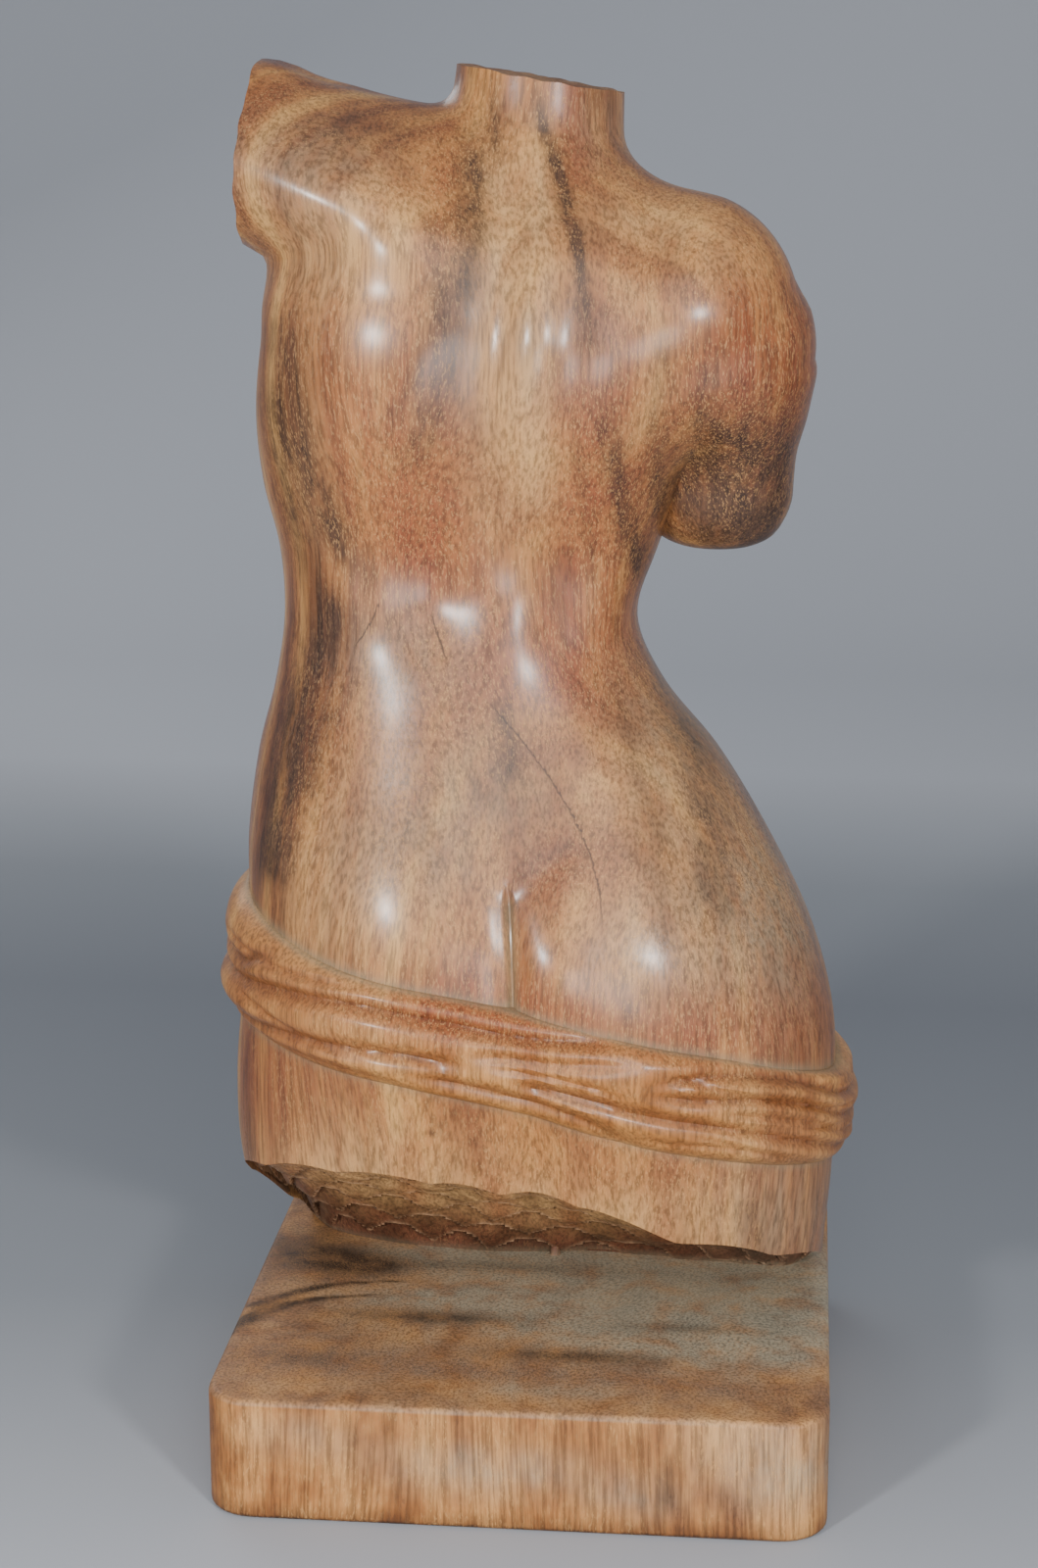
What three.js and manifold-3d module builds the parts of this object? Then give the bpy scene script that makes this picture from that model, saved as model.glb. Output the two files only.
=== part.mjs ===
// A female torso carved from one hardwood log, standing on a block plinth of the same log.
// Millimetres, +Z up. The origin is the centre of the plinth's underside, -Y is the figure's back,
// +Y her front, +X her right side. The head and arms are cut off short, a twisted cloth is slung
// round the hips, and below it the thighs end in a hewn undercut that runs in to a narrower foot.
import * as THREE from "three";
import { mergeVertices } from "three/addons/utils/BufferGeometryUtils.js";
import Module from "manifold-3d";

const wasm = await Module();
wasm.setup();

// Plinth
const PLINTH_WIDTH = 350;
const PLINTH_DEPTH = 350;
const PLINTH_HEIGHT = 72;
const PLINTH_CORNER = 26;
const PLINTH_EDGE = 5;

// Figure. Its tables are drawn at LAYOUT_HEIGHT, in millimetres above the plinth's top.
const FIGURE_HEIGHT = 728;
const LAYOUT_HEIGHT = 728;
const SCALE = FIGURE_HEIGHT / LAYOUT_HEIGHT;
const ROOT_DEPTH = 12;
const FAN_HEIGHT = 580;

// Level sections of the trunk: height, then reach to her left (-x), right, back (-y) and front,
// and squareness.
const SECTIONS = [
  [-20, -148, 168, -56, 118, 3.0],
  [28, -168, 171, -60, 120, 3.0],
  [78, -183, 175, -68, 123, 2.9],
  [128, -186, 176, -78, 127, 2.6],
  [178, -182, 173, -86, 131, 2.4],
  [228, -177, 159, -82, 135, 2.3],
  [278, -178, 134, -70, 136, 2.25],
  [328, -172, 103, -55, 132, 2.2],
  [368, -162, 70, -42, 124, 2.2],
  [408, -156, 53, -33, 116, 2.2],
  [448, -158, 64, -30, 114, 2.25],
  [488, -166, 80, -40, 114, 2.3],
  [528, -168, 98, -52, 114, 2.4],
  [568, -164, 108, -56, 112, 2.4],
  [608, -157, 98, -48, 106, 2.3],
  [638, -120, 72, -34, 98, 2.2],
  [668, -66, 40, -8, 88, 2.1],
  [700, -30, 14, 20, 70, 2.0],
];

// Round masses of the shoulders and neck: two ends and a radius at each, and how widely each one melts in.
const MASSES = {
  neck: { from: [-8, 42, 640], to: [-3.5, 52, 770], radii: [50, 46.5], melt: 18 },
  leftSlope: { from: [-22, 32, 654], to: [-112, 32, 668], radii: [42, 40], melt: 18 },
  leftArm: { from: [-78, 14, 634], to: [-163, 30, 676], radii: [50, 52], melt: 22 },
  rightSlope: { from: [0, 26, 635], to: [78, 24, 601], radii: [41, 53], melt: 28 },
  rightShoulder: { from: [83, 20, 585], to: [89, 26, 568], radii: [61, 65], melt: 17 },
  leftBreast: { from: [-92, 84, 508], to: [-96, 88, 502], radii: [46, 46], melt: 16 },
  rightBreast: { from: [36, 82, 496], to: [38, 86, 490], radii: [46, 46], melt: 16 },
};

// Swellings (+) and hollows (-) of the surface: x, height, reach across, reach up, depth.
const BACK_RELIEF = [
  [-90, 226, 58, 62, 9],
  [70, 212, 66, 64, 9],
  [10, 232, 26, 34, 3],
  [-6, 318, 34, 58, -5],
  [-108, 596, 50, 44, 4],
  [62, 590, 46, 46, 5],
  [-112, 500, 44, 70, 3],
  [56, 500, 30, 60, 3],
  [2, 590, 15, 42, 4],
  [-98, 424, 20, 28, 2.5],
  [-23, 411, 15, 26, 2.5],
  [31, 415, 14, 26, 2.5],
  [5, 96, 14, 60, -4],
];
const FRONT_RELIEF = [
  [-28, 520, 14, 60, -4],
  [-32, 440, 50, 24, -4],
  [-38, 350, 14, 14, -6],
  [-40, 312, 52, 42, 6],
  [-36, 410, 9, 46, -3],
  [-128, 270, 26, 26, 4],
  [92, 250, 26, 26, 4],
  [-94, 120, 52, 90, 8],
  [84, 110, 52, 90, 8],
];

// Long furrows (-) and ridges (+): points of x and height, half width, length of the fading ends, depth.
const BACK_LINES = [
  { path: [[-14, 690], [-17, 640], [-24, 575], [-28, 500], [-30, 440]], width: 15, fade: 50, depth: -4.5 },
  { path: [[-40, 600], [-46, 540], [-58, 470], [-62, 410], [-56, 380]], width: 17, fade: 50, depth: -3.5 },
  { path: [[-160, 668], [-114, 642], [-70, 612]], width: 40, fade: 20, depth: 6 },
  { path: [[26, 630], [19, 570], [10, 480], [4, 410]], width: 13, fade: 50, depth: -2.5 },
  { path: [[-15, 276], [-13, 250], [-11, 215], [-10, 160]], width: 8, fade: 16, depth: -9 },
];
const FRONT_LINES = [{ path: [[-10, 200], [-6, 100], [-4, -40]], width: 14, fade: 40, depth: -10 }];

// Line inside the trunk that follows the spine and the cleft: height and x.
const CORE = [
  [-20, -8],
  [160, -10],
  [225, -12],
  [262, -14],
  [350, -26],
  [430, -30],
  [500, -28],
  [FAN_HEIGHT, -22],
];

// Twisted cloth: height of its top and bottom edge at eight places, from her right round by the front.
const CLOTH_TOP = [146, 174, 212, 240, 250, 222, 204, 178];
const CLOTH_BOTTOM = [90, 106, 130, 158, 177, 159, 141, 114];
const CLOTH_BULK = 15;
const CLOTH_EDGE = 2.5;
const CLOTH_SINK = 12;

// Grooves between the rolls of the cloth: the course gives degrees round the figure, from her right
// by the front, and the place across the band (0 top, 1 bottom). Each one fades in and out.
const GROOVES = [
  {
    course: [[298, 0.4], [305, 0.29], [320, 0.14], [335, 0.1], [348, 0.25], [360, 0.27], [405, 0.33],
      [450, 0.3], [495, 0.36], [540, 0.42], [559, 0.39], [567, 0.2], [576, 0.02]],
    depth: 8,
  },
  {
    course: [[298, 0.43], [312, 0.41], [320, 0.37], [335, 0.32], [348, 0.49], [360, 0.52], [405, 0.5],
      [450, 0.55], [495, 0.52], [540, 0.6], [559, 0.54], [575, 0.35], [590, 0.22], [608, 0.2],
      [627, 0.2], [647, 0.09], [660, 0]],
    depth: 8,
  },
  {
    course: [[265, 0.65], [287, 0.62], [305, 0.64], [320, 0.65], [335, 0.71], [348, 0.84], [360, 0.82],
      [405, 0.76], [450, 0.74], [495, 0.8], [540, 0.86], [559, 0.87], [575, 0.74], [590, 0.64],
      [608, 0.58], [620, 0.55]],
    depth: 8,
  },
  { course: [[238, 0.78], [248, 0.78], [267, 0.79], [287, 0.83], [299, 0.93], [308, 0.99]], depth: 7 },
  { course: [[312, 0.52], [320, 0.5], [335, 0.51], [348, 0.66], [360, 0.68], [392, 0.66]], depth: 6.5 },
  { course: [[190, 0.99], [199, 0.97], [215, 0.91], [230, 0.91], [240, 0.95], [246, 1]], depth: 4 },
  { course: [[60, 0.16], [90, 0.13], [130, 0.2], [160, 0.22]], depth: 6 },
  { course: [[254, 0.47], [267, 0.4], [280, 0.33], [290, 0.24], [302, 0.15]], depth: 5 },
];
const GROOVE_WIDTH = 10.5;
const GROOVE_FADE = 14;

// Hewn undercut, along the line where the foot meets the plinth: place on the line, its x and y,
// the direction in degrees in which the cut runs out from it, and how steeply it rises.
const UNDERCUT = [
  [0, -168, 114, 190, 1.3],
  [1, -152, 94, 208, 1.05],
  [2, -136, 74, 235, 0.85],
  [3, -87, 58, 262, 0.75],
  [4, -36, 52, 268, 0.7],
  [5, 25, 58, 272, 0.62],
  [6, 87, 51, 280, 0.5],
  [7, 140, 47, 300, 0.42],
  [8, 160, 66, 332, 0.5],
  [9, 174, 96, 352, 1],
];
const GOUGE_WIDTH = 48;
const GOUGE_LENGTH = 38;
const GOUGE_DEPTH = 6.5;
const UNDERCUT_REACHES = [0, 12, 26, 40, 54, 68, 82, 96, 110, 124, 138, 260];
const FOOT_LINE_LENGTH = 480;

// The arm that hangs from her right shoulder, down to its rounded end: x, y, height, half width
// and half depth.
const HANGING_ARM = [
  [87, 25, 592, 42, 42],
  [87, 25, 580, 54, 54],
  [89, 26, 570, 61, 61],
  [89.3, 27, 562, 64.2, 64.2],
  [89.5, 27.5, 554, 65.3, 65.3],
  [89, 31, 540, 63.5, 64.5],
  [91, 37, 525, 58.5, 60.5],
  [95, 44, 506, 49.5, 51],
  [97.5, 49, 490, 45.5, 46],
  [98, 53, 476, 44, 44.5],
  [97.5, 56, 464, 40, 41],
  [98, 57.5, 455, 33, 34],
  [98.5, 58, 450, 23, 25],
  [99, 58, 448.5, 6, 6],
];

// Saw cuts: a point on the plane and the slope of the plane.
const NECK_CUT = { x: -4, height: 716, fall: 0.17 };
const ARM_CUT = { x: -171, height: 640, lean: 0.09 };

// Level rays from the core to the skin: height, and the number of rows to the next. Above
// FAN_HEIGHT the rays spread from one point of the core, rising by these degrees.
const LEVEL_ROWS = [
  [-ROOT_DEPTH, 3],
  [62, 3],
  [168, 5],
  [256, 17],
  [FAN_HEIGHT, 1],
];
const FAN_RISES = [6, 12, 18, 24, 29, 34, 39, 44, 49, 54, 59, 64, 69, 74, 82];
const RAY_REACH = 330;
const RAY_STEP = 5;

// Fineness of the faces
const COLUMNS = 56;
const CLOTH_COLUMNS = 64;
const CLOTH_ROWS = 14;
const GOUGE_ROWS = 48;
const ARM_SIDES = 32;
const SLIVER = 0.15;

const clamp = (value, low, high) => Math.min(high, Math.max(low, value));
const mix = (a, b, share) => a + (b - a) * share;
const smoothStep = (share) => share * share * (3 - 2 * share);

// Cubic through the rows of a table at uneven steps, reading one column.
function readTable(rows, column, at) {
  const last = rows.length - 1;
  const where = clamp(at, rows[0][0], rows[last][0]);
  let i = 0;
  while (i < last - 1 && rows[i + 1][0] < where) i++;
  const slope = (k) => {
    const a = Math.max(0, k - 1);
    const b = Math.min(last, k + 1);
    return (rows[b][column] - rows[a][column]) / (rows[b][0] - rows[a][0]);
  };
  const step = rows[i + 1][0] - rows[i][0];
  const t = (where - rows[i][0]) / step;
  const t2 = t * t;
  const t3 = t2 * t;
  return (
    (2 * t3 - 3 * t2 + 1) * rows[i][column] +
    (t3 - 2 * t2 + t) * step * slope(i) +
    (3 * t2 - 2 * t3) * rows[i + 1][column] +
    (t3 - t2) * step * slope(i + 1)
  );
}

// Smooth closed curve through values that stand at even angles.
function readRing(values, angle) {
  const n = values.length;
  const at = ((angle / (2 * Math.PI)) * n + n) % n;
  const i = Math.floor(at);
  const t = at - i;
  const [a, b, c, d] = [-1, 0, 1, 2].map((k) => values[(i + k + n) % n]);
  return b + 0.5 * t * (c - a + t * (2 * a - 5 * b + 4 * c - d + t * (3 * (b - c) + d - a)));
}

// Polar radius of a rounded box whose half sizes differ from side to side.
function roundedRadius(angle, right, left, front, back, squareness) {
  const c = Math.cos(angle);
  const s = Math.sin(angle);
  const across = mix(left, right, (1 + c) / 2);
  const along = mix(back, front, (1 + s) / 2);
  const sum = Math.abs(c / across) ** squareness + Math.abs(s / along) ** squareness;
  return sum ** (-1 / squareness);
}

// The section's middle and half sizes at a height.
function sectionAt(height) {
  const [left, right, back, front, squareness] = [1, 2, 3, 4, 5].map((k) => readTable(SECTIONS, k, height));
  const x = (left + right) / 2;
  const y = (back + front) / 2;
  return { x, y, right: right - x, left: x - left, front: front - y, back: y - back, squareness };
}

function trunkDistance(x, y, z) {
  const s = sectionAt(z);
  const angle = Math.atan2(y - s.y, x - s.x);
  const radius = roundedRadius(angle, s.right, s.left, s.front, s.back, s.squareness);
  const over = Math.max(0, z - SECTIONS[SECTIONS.length - 1][0]);
  return Math.hypot(x - s.x, y - s.y) - radius + over;
}

function massDistance(x, y, z, { from, to, radii }) {
  const axis = to.map((v, k) => v - from[k]);
  const arm = [x - from[0], y - from[1], z - from[2]];
  const length2 = axis.reduce((sum, v) => sum + v * v, 0);
  const share = clamp(axis.reduce((sum, v, k) => sum + v * arm[k], 0) / length2, 0, 1);
  return Math.hypot(...arm.map((v, k) => v - axis[k] * share)) - mix(radii[0], radii[1], share);
}

function smoothMin(a, b, melt) {
  const h = Math.max(melt - Math.abs(a - b), 0) / melt;
  return Math.min(a, b) - (h * h * melt) / 4;
}

function lineRelief(x, z, { path, width, fade, depth }) {
  const top = Math.max(path[0][1], path[path.length - 1][1]);
  const bottom = Math.min(path[0][1], path[path.length - 1][1]);
  const rows = path.map(([px, pz]) => [pz, px]).sort((a, b) => a[0] - b[0]);
  const off = (x - readTable(rows, 1, z)) / width;
  const ends = smoothStep(clamp((z - bottom) / fade, 0, 1)) * smoothStep(clamp((top - z) / fade, 0, 1));
  return depth * Math.exp(-off * off) * ends;
}

function spotRelief(x, z, [middleX, middleZ, across, up, depth]) {
  return depth * Math.exp(-(((x - middleX) / across) ** 2) - ((z - middleZ) / up) ** 2);
}

// Relief seen from behind on her back, and from before on her front, fading out at the flanks.
function relief(x, y, z, withLines) {
  const s = sectionAt(z);
  const side = (y - s.y) / (y < s.y ? s.back : s.front);
  const strength = smoothStep(clamp((Math.abs(side) - 0.1) / 0.6, 0, 1));
  const [spots, lines] = y < s.y ? [BACK_RELIEF, BACK_LINES] : [FRONT_RELIEF, FRONT_LINES];
  const broad = spots.reduce((sum, spot) => sum + spotRelief(x, z, spot), 0);
  const narrow = withLines ? lines.reduce((sum, line) => sum + lineRelief(x, z, line), 0) : 0;
  return strength * (broad + narrow);
}

// Signed distance to the figure's skin, near enough for rays: negative inside.
function skinDistance(x, y, z, withLines = true) {
  const shape = Object.values(MASSES).reduce(
    (d, mass) => smoothMin(d, massDistance(x, y, z, mass), mass.melt),
    trunkDistance(x, y, z),
  );
  return shape - relief(x, y, z, withLines);
}

// First point where a ray from inside leaves the skin.
function castRay(origin, direction, withLines = true) {
  const at = (t) => skinDistance(...origin.map((v, k) => v + direction[k] * t), withLines);
  let high = RAY_STEP;
  while (high < RAY_REACH && at(high) < 0) high += RAY_STEP;
  let low = high - RAY_STEP;
  for (let i = 0; i < 14; i++) {
    const middle = (low + high) / 2;
    if (at(middle) < 0) low = middle;
    else high = middle;
  }
  return origin.map((v, k) => v + direction[k] * low);
}

function solid(vertProperties, triVerts) {
  return new wasm.Manifold(new wasm.Mesh({ numProp: 3, vertProperties, triVerts }));
}

// Grid of points, closed round each row, to a solid. The first and last row are capped at a middle
// point, or joined to each other when looped.
function gridSolid(rows, looped = false) {
  const columns = rows[0].length;
  const rowCount = rows.length;
  const points = rows.flat().flat();
  const faces = [];
  const gap = (p, q) => Math.hypot(...[0, 1, 2].map((k) => points[3 * p + k] - points[3 * q + k]));
  for (let i = 0; i < (looped ? rowCount : rowCount - 1); i++)
    for (let j = 0; j < columns; j++) {
      const a = i * columns + j;
      const b = i * columns + ((j + 1) % columns);
      const c = ((i + 1) % rowCount) * columns + j;
      const d = ((i + 1) % rowCount) * columns + ((j + 1) % columns);
      if (gap(a, d) < gap(b, c)) faces.push(a, b, d, a, d, c);
      else faces.push(a, b, c, b, d, c);
    }
  if (!looped)
    for (const [row, flip] of [[0, true], [rowCount - 1, false]]) {
      const middle = [0, 1, 2].map((k) => rows[row].reduce((sum, p) => sum + p[k], 0) / columns);
      const index = points.length / 3;
      points.push(...middle);
      for (let j = 0; j < columns; j++) {
        const a = row * columns + j;
        const b = row * columns + ((j + 1) % columns);
        faces.push(...(flip ? [b, a, index] : [a, b, index]));
      }
    }
  return solid(new Float32Array(points), new Uint32Array(faces));
}

// A closed three.js geometry as a solid, moved to its place.
function solidOf(geometry, matrix = new THREE.Matrix4()) {
  const plain = geometry.clone().applyMatrix4(matrix);
  plain.deleteAttribute("normal");
  plain.deleteAttribute("uv");
  const merged = mergeVertices(plain, 1e-4);
  return solid(merged.attributes.position.array, new Uint32Array(merged.index.array));
}

// The figure's layout put on the plinth's top at its real size.
const place = ([x, y, z]) => [x * SCALE, y * SCALE, z * SCALE + PLINTH_HEIGHT];

function figureSkin() {
  const levels = LEVEL_ROWS.flatMap(([height, count], i) => {
    const next = LEVEL_ROWS[i + 1] ?? [height];
    return Array.from({ length: count }, (_, k) => ({ height: mix(height, next[0], k / count), rise: 0 }));
  });
  const fan = FAN_RISES.map((rise) => ({ height: FAN_HEIGHT, rise }));
  const rows = [...levels, ...fan].map(({ height, rise }) => {
    const origin = [readTable(CORE, 1, height), sectionAt(height).y, height];
    const tilt = (rise * Math.PI) / 180;
    return Array.from({ length: COLUMNS }, (_, j) => {
      const even = (j / COLUMNS) * 2 * Math.PI;
      const angle = even - 0.2 * Math.cos(even);
      const level = Math.cos(tilt);
      const direction = [level * Math.cos(angle), level * Math.sin(angle), Math.sin(tilt)];
      return place(castRay(origin, direction));
    });
  });
  return gridSolid(rows);
}

// Hanging arm: rings along its axis, from inside the shoulder to its rounded end.
function hangingArm() {
  const rows = HANGING_ARM.map(([x, y, z, halfWidth, halfDepth]) =>
    Array.from({ length: ARM_SIDES }, (_, j) => {
      const angle = (-j / ARM_SIDES) * 2 * Math.PI;
      return place([x + halfWidth * Math.cos(angle), y + halfDepth * Math.sin(angle), z]);
    }),
  );
  return gridSolid(rows);
}

// Point of the skin under the cloth, which is drawn tight over the furrows.
function skinPoint(angle, height) {
  const s = sectionAt(height);
  return castRay([s.x, s.y, height], [Math.cos(angle), Math.sin(angle), 0], false);
}

// Height of the cloth over the skin: a broad bulge, with steep-sided grooves cut into it.
function clothHeight(angle, across, bandWidth) {
  const bulge = CLOTH_EDGE + (CLOTH_BULK - CLOTH_EDGE) * (1 - Math.abs(2 * across - 1) ** 3.2);
  let cut = 0;
  for (const { course, depth } of GROOVES)
    for (const turn of [0, 360]) {
      const at = (angle * 180) / Math.PI + turn;
      const inside = Math.min(at - course[0][0], course[course.length - 1][0] - at);
      const off = (Math.abs(across - readTable(course, 1, at)) * bandWidth) / GROOVE_WIDTH;
      const side = (1 - Math.min(1, off)) ** 2;
      cut = Math.max(cut, depth * side * smoothStep(clamp(inside / GROOVE_FADE, 0, 1)));
    }
  return bulge - cut;
}

function cloth() {
  const rows = [];
  const ring = (share, out) =>
    Array.from({ length: CLOTH_COLUMNS }, (_, j) => {
      const angle = (j / CLOTH_COLUMNS) * 2 * Math.PI;
      const top = readRing(CLOTH_TOP, angle);
      const bottom = readRing(CLOTH_BOTTOM, angle);
      const [x, y, z] = skinPoint(angle, mix(top, bottom, share));
      const lift = out ?? clothHeight(angle, share, top - bottom);
      return place([x + lift * Math.cos(angle), y + lift * Math.sin(angle), z]);
    });
  for (let i = 0; i <= CLOTH_ROWS; i++) rows.push(ring(i / CLOTH_ROWS));
  for (const share of [1, 0]) rows.push(ring(share, -CLOTH_SINK));
  return gridSolid(rows.reverse(), true);
}

// Depth of the gouge marks, which lap like scales, at a place along the foot's line and out from it.
function gougeMark(along, out) {
  const stroke = (((along / GOUGE_WIDTH + 0.5 * Math.floor(out / GOUGE_LENGTH)) % 1) + 1) % 1;
  const off = 2 * stroke - 1;
  const run = (out / GOUGE_LENGTH + 0.4 * off * off) % 1;
  return GOUGE_DEPTH * (1 - off * off) * (0.35 + 0.65 * run);
}

// What the undercut takes away: upright slices that stand side by side along the foot's line.
function undercut() {
  const floor = -ROOT_DEPTH - 1;
  const last = UNDERCUT.length - 1;
  const far = UNDERCUT_REACHES[UNDERCUT_REACHES.length - 1];
  const rows = [];
  for (let i = 0; i <= GOUGE_ROWS; i++) {
    const [x, y, turn, rise] = [1, 2, 3, 4].map((k) => readTable(UNDERCUT, k, (i / GOUGE_ROWS) * last));
    const c = Math.cos((turn * Math.PI) / 180);
    const s = Math.sin((turn * Math.PI) / 180);
    const row = [[x, y, floor]];
    for (const reach of UNDERCUT_REACHES) {
      const mark = reach ? gougeMark((i / GOUGE_ROWS) * FOOT_LINE_LENGTH, reach) : 0;
      row.push([x + c * reach, y + s * reach, reach * rise + mark]);
    }
    row.push([x + c * far, y + s * far, floor]);
    rows.push(row.map(place));
  }
  return gridSolid(rows);
}

// Block with rounded upright corners and softened edges.
function plinth() {
  const shape = new THREE.Shape();
  const w = PLINTH_WIDTH / 2 - PLINTH_EDGE;
  const d = PLINTH_DEPTH / 2 - PLINTH_EDGE;
  const r = PLINTH_CORNER - PLINTH_EDGE;
  shape.moveTo(-w + r, -d);
  shape.lineTo(w - r, -d);
  shape.absarc(w - r, -d + r, r, -Math.PI / 2, 0);
  shape.lineTo(w, d - r);
  shape.absarc(w - r, d - r, r, 0, Math.PI / 2);
  shape.lineTo(-w + r, d);
  shape.absarc(-w + r, d - r, r, Math.PI / 2, Math.PI);
  shape.lineTo(-w, -d + r);
  shape.absarc(-w + r, -d + r, r, Math.PI, 1.5 * Math.PI);
  const block = new THREE.ExtrudeGeometry(shape, {
    depth: PLINTH_HEIGHT - 2 * PLINTH_EDGE,
    bevelEnabled: true,
    bevelThickness: PLINTH_EDGE,
    bevelSize: PLINTH_EDGE,
    bevelSegments: 1,
    curveSegments: 6,
  });
  return solidOf(block, new THREE.Matrix4().makeTranslation(0, 0, PLINTH_EDGE));
}

// A big block whose one face is the cutting plane, for the neck and the raised arm.
function cutter(point, outward) {
  const size = 400 * SCALE;
  const normal = new THREE.Vector3(...outward).normalize();
  const turn = new THREE.Quaternion().setFromUnitVectors(new THREE.Vector3(0, 0, 1), normal);
  const middle = new THREE.Vector3(...place(point)).addScaledVector(normal, size / 2);
  const matrix = new THREE.Matrix4().compose(middle, turn, new THREE.Vector3(1, 1, 1));
  return solidOf(new THREE.BoxGeometry(size, size, size), matrix);
}

function carvedFigure() {
  const neckCut = cutter([NECK_CUT.x, 50, NECK_CUT.height], [NECK_CUT.fall, 0, 1]);
  const armCut = cutter([ARM_CUT.x, 30, ARM_CUT.height], [-1, 0, ARM_CUT.lean]);
  const body = figureSkin().subtract(undercut()).add(hangingArm()).add(cloth());
  return body.subtract(neckCut).subtract(armCut).add(plinth()).simplify(SLIVER);
}

function geometryOf(manifold) {
  const mesh = manifold.getMesh();
  const geometry = new THREE.BufferGeometry();
  geometry.setAttribute("position", new THREE.BufferAttribute(mesh.vertProperties, 3));
  geometry.setIndex(new THREE.BufferAttribute(mesh.triVerts, 1));
  geometry.computeVertexNormals();
  return geometry;
}

const hardwood = new THREE.MeshStandardMaterial({ color: 0xa97850, roughness: 0.42, metalness: 0 });

const sculpture = new THREE.Group();
const torso = new THREE.Mesh(geometryOf(carvedFigure()), hardwood);
torso.name = "torso_and_plinth";
sculpture.add(torso);

export default sculpture;
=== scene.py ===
"""A female torso carved from one hardwood log together with its block plinth, seen from behind.

The skin is one surface of rays from a line inside the trunk out to a smooth body made of level
sections, round masses and carved relief. It turns under at a scalloped rim and runs in, over lapped
gouge marks, to the foot. The twisted cloth, the hanging arm and the plinth are joined to it, and
the neck and the raised arm are sawn off.
"""

import math

import bpy
import numpy as np
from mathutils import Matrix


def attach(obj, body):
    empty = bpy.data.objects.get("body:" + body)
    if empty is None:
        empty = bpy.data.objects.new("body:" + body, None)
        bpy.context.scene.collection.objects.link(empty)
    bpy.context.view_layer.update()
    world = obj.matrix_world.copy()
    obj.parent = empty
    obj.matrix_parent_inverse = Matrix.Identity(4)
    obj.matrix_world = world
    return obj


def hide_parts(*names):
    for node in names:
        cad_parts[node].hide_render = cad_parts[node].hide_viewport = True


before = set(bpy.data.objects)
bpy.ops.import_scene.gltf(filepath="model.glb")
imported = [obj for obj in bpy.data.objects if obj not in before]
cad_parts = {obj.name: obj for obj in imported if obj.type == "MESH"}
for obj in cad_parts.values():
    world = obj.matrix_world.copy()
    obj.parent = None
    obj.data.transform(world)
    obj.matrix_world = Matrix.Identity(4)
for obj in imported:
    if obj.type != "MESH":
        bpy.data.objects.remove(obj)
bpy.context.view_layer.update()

# Millimetres, in the frame of the CAD: +Z up, -Y the back, +X her right side.
MM = 0.001
PLINTH_WIDTH = 350
PLINTH_DEPTH = 350
PLINTH_HEIGHT = 72
PLINTH_CORNER = 26
PLINTH_EDGE = 3.5
ROOT_DEPTH = 12

# Level sections of the trunk, in millimetres above the plinth's top: height, then reach to her left
# (-x), right, back (-y) and front, and squareness.
SECTIONS = [
    (-20, -148, 168, -56, 118, 3.0),
    (28, -168, 171, -60, 120, 3.0),
    (78, -183, 175, -68, 123, 2.9),
    (128, -186, 176, -78, 127, 2.6),
    (178, -182, 173, -86, 131, 2.4),
    (228, -177, 159, -82, 135, 2.3),
    (278, -178, 134, -70, 136, 2.25),
    (328, -172, 103, -55, 132, 2.2),
    (368, -162, 70, -42, 124, 2.2),
    (408, -156, 53, -33, 116, 2.2),
    (448, -158, 64, -30, 114, 2.25),
    (488, -166, 80, -40, 114, 2.3),
    (528, -168, 98, -52, 114, 2.4),
    (568, -164, 108, -56, 112, 2.4),
    (608, -157, 98, -48, 106, 2.3),
    (638, -120, 72, -34, 98, 2.2),
    (668, -66, 40, -8, 88, 2.1),
    (700, -30, 14, 20, 70, 2.0),
]

# Round masses: two ends, a radius at each, and how widely each one melts into the rest.
MASSES = [
    ((-8, 42, 640), (-3.5, 52, 770), (50, 46.5), 18),  # neck
    ((-22, 32, 654), (-112, 32, 668), (42, 40), 18),  # slope to her left shoulder
    ((-78, 14, 634), (-163, 30, 676), (50, 52), 22),  # raised left arm
    ((0, 26, 635), (78, 24, 601), (41, 53), 28),  # slope to her right shoulder
    ((83, 20, 585), (89, 26, 568), (61, 65), 17),  # right shoulder
    ((-92, 84, 508), (-96, 88, 502), (46, 46), 16),  # left breast
    ((36, 82, 496), (38, 86, 490), (46, 46), 16),  # right breast
]

# Swellings (+) and hollows (-): x, height, reach across, reach up, depth.
BACK_RELIEF = [
    (-90, 226, 58, 62, 9),
    (70, 212, 66, 64, 9),
    (-6, 318, 34, 58, -5),
    (-108, 596, 50, 44, 4),
    (62, 590, 46, 46, 5),
    (-112, 500, 44, 70, 3),
    (56, 500, 30, 60, 3),
    (2, 590, 15, 42, 4),
    (-20, 425, 110, 32, -5),
    (-92, 268, 60, 40, 3),
    (66, 262, 60, 40, 3),
    (-112, 430, 26, 26, 6),
    (-16, 416, 22, 26, 5),
    (39, 422, 19, 24, 7),
    (18, 228, 22, 34, 5),
    (-154, 668, 42, 24, 7),
    (-116, 650, 40, 22, 8),
    (-78, 630, 34, 22, 6),
    (-146, 708, 60, 22, -4),
    (5, 96, 14, 60, -4),
]
FRONT_RELIEF = [
    (-28, 520, 14, 60, -4),
    (-32, 440, 50, 24, -4),
    (-38, 350, 14, 14, -6),
    (-40, 312, 52, 42, 6),
    (-36, 410, 9, 46, -3),
    (-128, 270, 26, 26, 4),
    (92, 250, 26, 26, 4),
    (-94, 120, 52, 90, 8),
    (84, 110, 52, 90, 8),
]

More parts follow.
